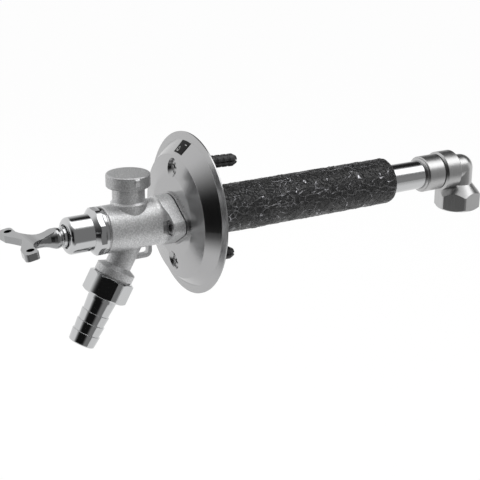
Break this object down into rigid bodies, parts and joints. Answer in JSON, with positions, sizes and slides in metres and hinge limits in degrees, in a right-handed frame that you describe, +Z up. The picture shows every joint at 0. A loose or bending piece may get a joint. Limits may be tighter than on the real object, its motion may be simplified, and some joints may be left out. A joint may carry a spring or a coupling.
{
  "type": "frost free sillcock",
  "caption": "Frost-proof outdoor wall tap: slip-on key, vent cap, hose union on a sloping spout, round wall rose, insulated pipe and a valve at the warm end with an inlet elbow.",
  "frame": {"origin": "where the axis of the pipe meets the outside face of the wall, in the plane of the rose's back rim", "axes": "+Y goes into the wall, square to it; +Z is up; +X is to the right when facing the wall. The pipe lies in the plane x = 0 and falls 1.9 degrees to the outside."},
  "size_m": [0.114, 0.392, 0.1443],
  "materials": {
    "satin_chrome": "fine sandblasted satin",
    "polished_chrome": "polished",
    "stainless": "polished, faintly brushed",
    "satin_fitting": "satin, turned",
    "brass": "machined",
    "white_plastic": "moulded",
    "blue_plastic": "moulded",
    "black_plastic": "moulded, ribbed",
    "black_rubber": "matt",
    "insulation_wrap": "wrinkled glossy film"
  },
  "bodies": {
    "fixed": {"tap_body": "satin_chrome", "headwork": "polished_chrome", "headwork_seal": "black_rubber", "gland_bush": "brass", "vent_cap": "satin_chrome", "vent_cage": "white_plastic", "vent_seat": "white_plastic", "flange_gasket": "black_rubber", "flange_plate": "stainless", "flange_screws": "stainless", "wall_rose": "stainless", "rose_seal": "black_rubber", "wall_screws": "stainless", "wall_plugs": "black_plastic", "pipe": "polished_chrome", "pipe_seal": "black_rubber", "insulation_sleeve": "insulation_wrap", "rod_guides": "white_plastic", "valve_housing": "satin_fitting", "housing_sleeve": "satin_fitting", "housing_seal": "black_rubber", "valve_seat": "brass", "inlet_elbow": "satin_fitting", "check_seat": "white_plastic", "check_cage": "white_plastic", "check_spring": "stainless"},
    "spindle": {"spindle": "polished_chrome", "spindle_orings": "black_rubber", "drive_rod": "stainless", "rod_pin": "stainless"},
    "key": {"key": "polished_chrome"},
    "piston": {"valve_piston": "brass", "seat_washer": "black_rubber", "washer_screw": "stainless"},
    "float": {"vent_float": "white_plastic", "float_seal": "black_rubber"},
    "poppet": {"check_poppet": "blue_plastic", "poppet_seal": "black_rubber"},
    "tail": {"hose_tail": "polished_chrome", "hose_washer": "black_rubber"},
    "nut": {"union_nut": "polished_chrome"}
  },
  "joints": [
    {"name": "spindle_turn", "type": "hinge", "parent": "fixed", "child": "spindle", "pos_m": [0, -0.09395, -0.00312], "axis": [0, -0.9995, -0.0332], "range_deg": [0, 1080]},
    {"name": "key_pull", "type": "slide", "parent": "spindle", "child": "key", "axis": [0, -0.9995, -0.0332], "range_m": [0, 0.022]},
    {"name": "piston_slide", "type": "slide", "parent": "fixed", "child": "piston", "axis": [0, -0.9995, -0.0332], "range_m": [0, 0.006]},
    {"name": "float_lift", "type": "slide", "parent": "fixed", "child": "float", "axis": [0, -0.0332, 0.9995], "range_m": [0, 0.004]},
    {"name": "poppet_slide", "type": "slide", "parent": "fixed", "child": "poppet", "axis": [0, -0.471, -0.8821], "range_m": [0, 0.0034], "stiffness_N_per_m": 40, "springref_m": -0.002, "deforming": ["check_spring"]},
    {"name": "tail_slide", "type": "slide", "parent": "fixed", "child": "tail", "axis": [0, -0.471, -0.8821], "range_m": [0, 0.012]},
    {"name": "nut_turn", "type": "hinge", "parent": "tail", "child": "nut", "pos_m": [0, -0.06115, -0.04319], "axis": [0, -0.471, -0.8821], "range_deg": [0, 2376]}
  ],
  "couplings": [
    {"joint": "piston_slide", "follows": "spindle_turn", "m_per_rad": 0.000318},
    {"joint": "tail_slide", "follows": "nut_turn", "m_per_rad": 0.000289}
  ]
}
